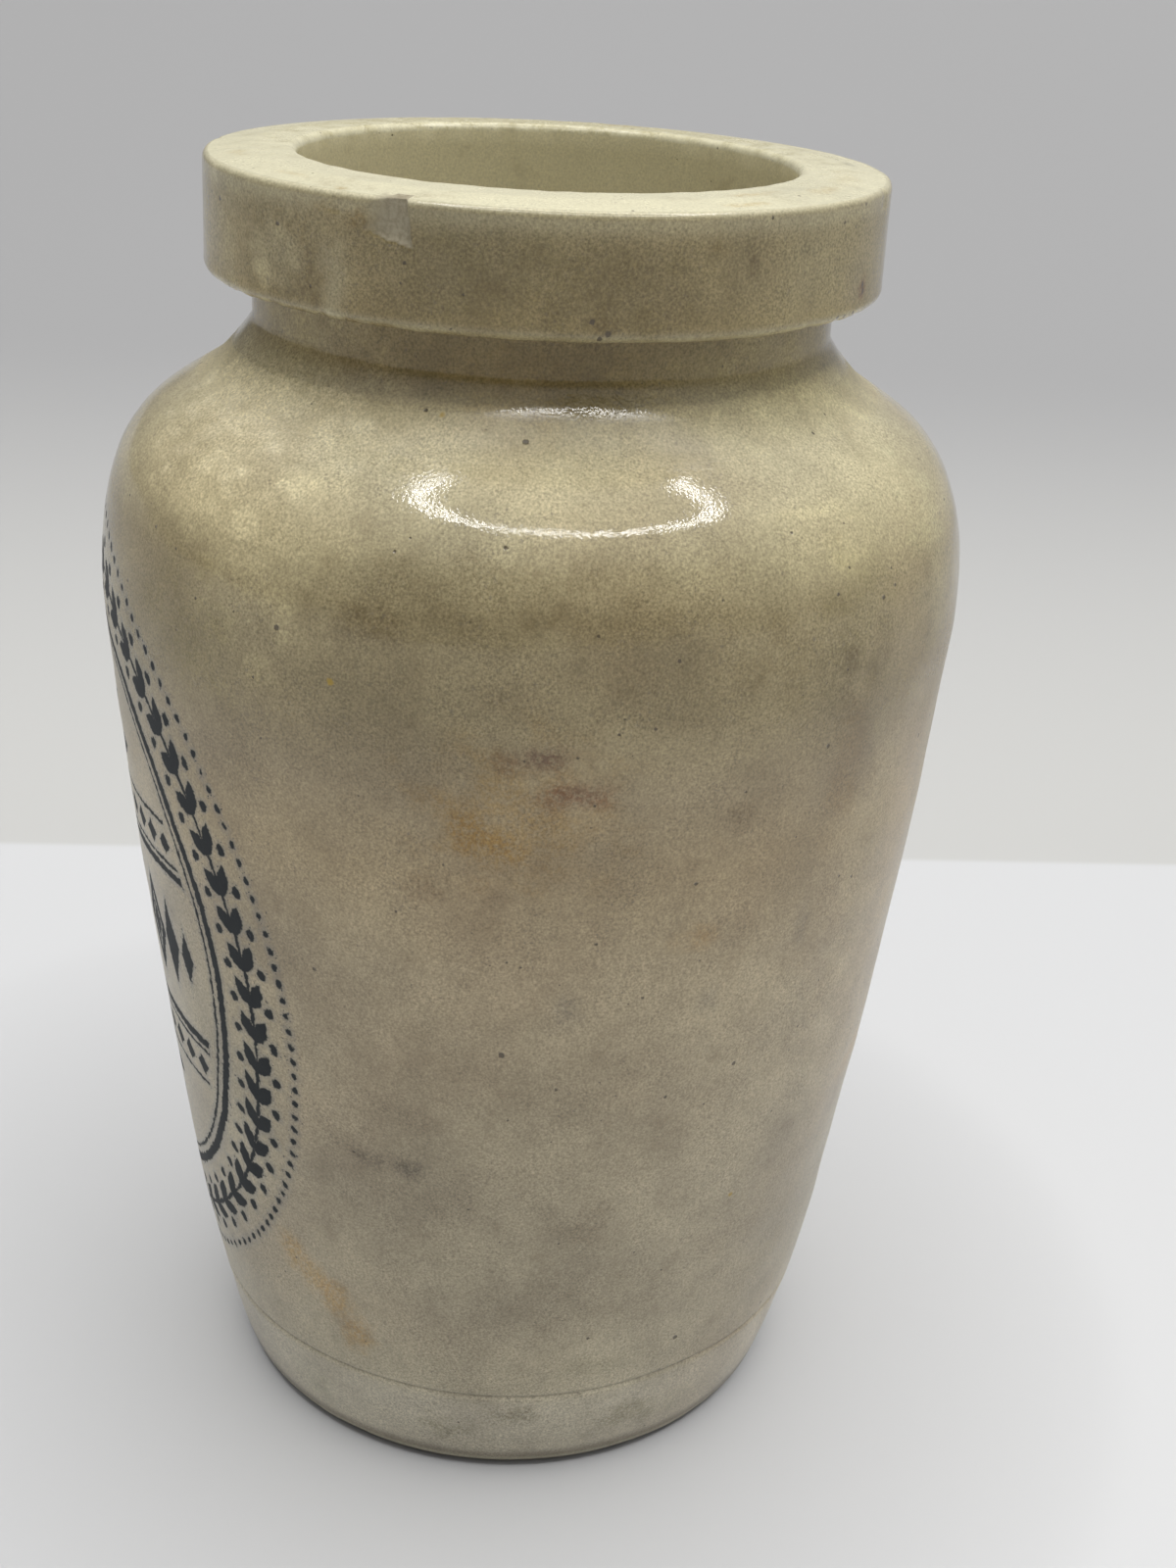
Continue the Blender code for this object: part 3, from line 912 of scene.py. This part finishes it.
big_lozenge = lozenge(12.3, 2.7, 5.6)
big_lozenge = both(big_lozenge, less(size_of(less(big_lozenge, 1.2)), 0.16))
within = less(-7.4, off_oval)
from_ribbon = size_of(less(above_half, 11.9))
ribbon = less(1.15, sums(tree, "ADD", size_of(repeated(aside, 3.1)), from_ribbon))
rules = [band(above_half, rise, half) for rise, half in ((8.7, 0.42), (9.8, 0.15), (14.0, 0.15))]
rules = both(any_of(*rules, ribbon), within)

fan_up = less(above_half, 15.6)
fan_reach = length_of(aside, fan_up)
fan_turn = sums(tree, "ARCTAN2", aside, fan_up)
fan_step = math.radians(26)
nearest = times(sums(tree, "ROUND", sums(tree, "DIVIDE", fan_turn, fan_step)), fan_step)
fan_off = less(fan_turn, nearest)
up_fan = less(times(fan_reach, sums(tree, "COSINE", fan_off)), 1.9)
off_fan = times(fan_reach, sums(tree, "SINE", fan_off))
fan_leaf = leaf(up_fan, off_fan, length=9.6, half_width=1.5, vein=0.12)
fan_leaf = both(fan_leaf, times(less(1.55, fan_turn), 8))
fans = any_of(fan_leaf, less(1.2, fan_reach))
knot_off = length_of(aside, sums(tree, "ADD", above, oval_high))
knots = any_of(
    band(knot_off, 2.3, 0.3),
    less(1.0, knot_off),
    less(1.5, length_of(aside, less(above, oval_high))),
)
row = any_of(big_lozenge, lozenge(17.0, 1.7, 4.4), lozenge(20.6, 1.2, 2.6))
print_shape = any_of(wreath, ovals, flower, row, rules, fans, knots)

# The ink has a ragged edge, a grey bleed round it and a few stray dots. It lies on the
# outside only, over ground that is a little paler.
ink_rag = sums(tree, "MULTIPLY_ADD", grain(0.7, 3, 0.65, 51), 0.84, -0.42)
ink_depth = sums(tree, "ADD", print_shape, ink_rag)
on_side = put(tree, "ShaderNodeAttribute", {}, output=2, attribute_name="printed")
ground_share = times(fade(tree, off_oval, 5, 1), on_side)
colour = lay_over(tree, ground_share, colour, (1.04, 1.07, 1.08, 1), "MULTIPLY")
ink_share = times(fade(tree, ink_depth, -0.12, 0.06), on_side)
splatter = times(fade(tree, ink_depth, -1.3, -0.2), fade(tree, pepper_grain, 0.64, 0.69))
splatter = times(splatter, on_side)
bleed_share = times(fade(tree, ink_depth, -0.8, 0.1, 0, 0.36), on_side)
colour = lay_over(tree, bleed_share, colour, (0.15, 0.175, 0.19, 1))
colour = lay_over(tree, any_of(ink_share, splatter), colour, ink_tone)

# Bare clay shows rough and whitish in the chip, and rubbed and greyed on the foot.
bare_clay = put(tree, "ShaderNodeAttribute", {}, output=2, attribute_name="bare")
clay_tone = lay_over(
    tree,
    fade(tree, grain(0.45, 3, 0.65, 80), 0.35, 0.65),
    (0.27, 0.235, 0.155, 1),
    (0.36, 0.32, 0.225, 1),
)
colour = lay_over(tree, bare_clay, colour, clay_tone)
rubbed_foot = put(tree, "ShaderNodeAttribute", {}, output=2, attribute_name="rubbed")
foot_tone = lay_over(
    tree,
    fade(tree, grain(1.2, 3, 0.6, 90), 0.35, 0.65),
    (0.30, 0.27, 0.22, 1),
    (0.50, 0.46, 0.38, 1),
)
colour = lay_over(tree, rubbed_foot, colour, foot_tone)
tree.links.new(colour, finish.inputs["Base Color"])

# The glaze is glossiest on the shoulder. Handling has dulled the side below it, grime
# the hollow turn under the neck, and the ink lies matt. Bare clay is dullest.
dull = fade(tree, clouds, 0.35, 0.7, 0.06, 0.09)
dull = sums(tree, "MULTIPLY_ADD", pepper_patch, 0.05, dull)
dull = sums(tree, "MULTIPLY_ADD", thin_glaze, 0.18, dull)
dull = sums(tree, "ADD", dull, fade(tree, level, 82, 96, 0.22, 0))
dull = sums(tree, "MULTIPLY_ADD", ink_share, 0.38, dull)
in_turn = times(fade(tree, level, 104.3, 105.6), fade(tree, level, 108.8, 107.6))
dull = sums(tree, "MULTIPLY_ADD", in_turn, 0.28, dull)
no_glaze = any_of(bare_clay, times(rubbed_foot, 0.9))
dull = sums(tree, "ADD", dull, times(no_glaze, 0.5))
tree.links.new(dull, finish.inputs["Roughness"])

# Fine relief, in millimetres: the glaze's orange peel, its pits, and the broken clay.
orange_peel = times(grain(1.3, 1, 0.5, 12), 0.016)
fine_peel = times(grain(0.27, 1.0, 0.5, 14), 0.012)
relief = sums(tree, "ADD", orange_peel, fine_peel)
relief = sums(tree, "MULTIPLY_ADD", fade(tree, pits, -0.06, 0.10), -0.05, relief)
broken = times(grain(0.5, 3, 0.65, 81), times(bare_clay, 0.045))
relief = sums(tree, "ADD", relief, broken)
surface = put(tree, "ShaderNodeBump", {"Height": relief, "Distance": 0.001, "Strength": 1.0})
tree.links.new(surface, finish.inputs["Normal"])
finish.inputs["Specular IOR Level"].default_value = 0.40
jar_mesh.materials.append(glaze)
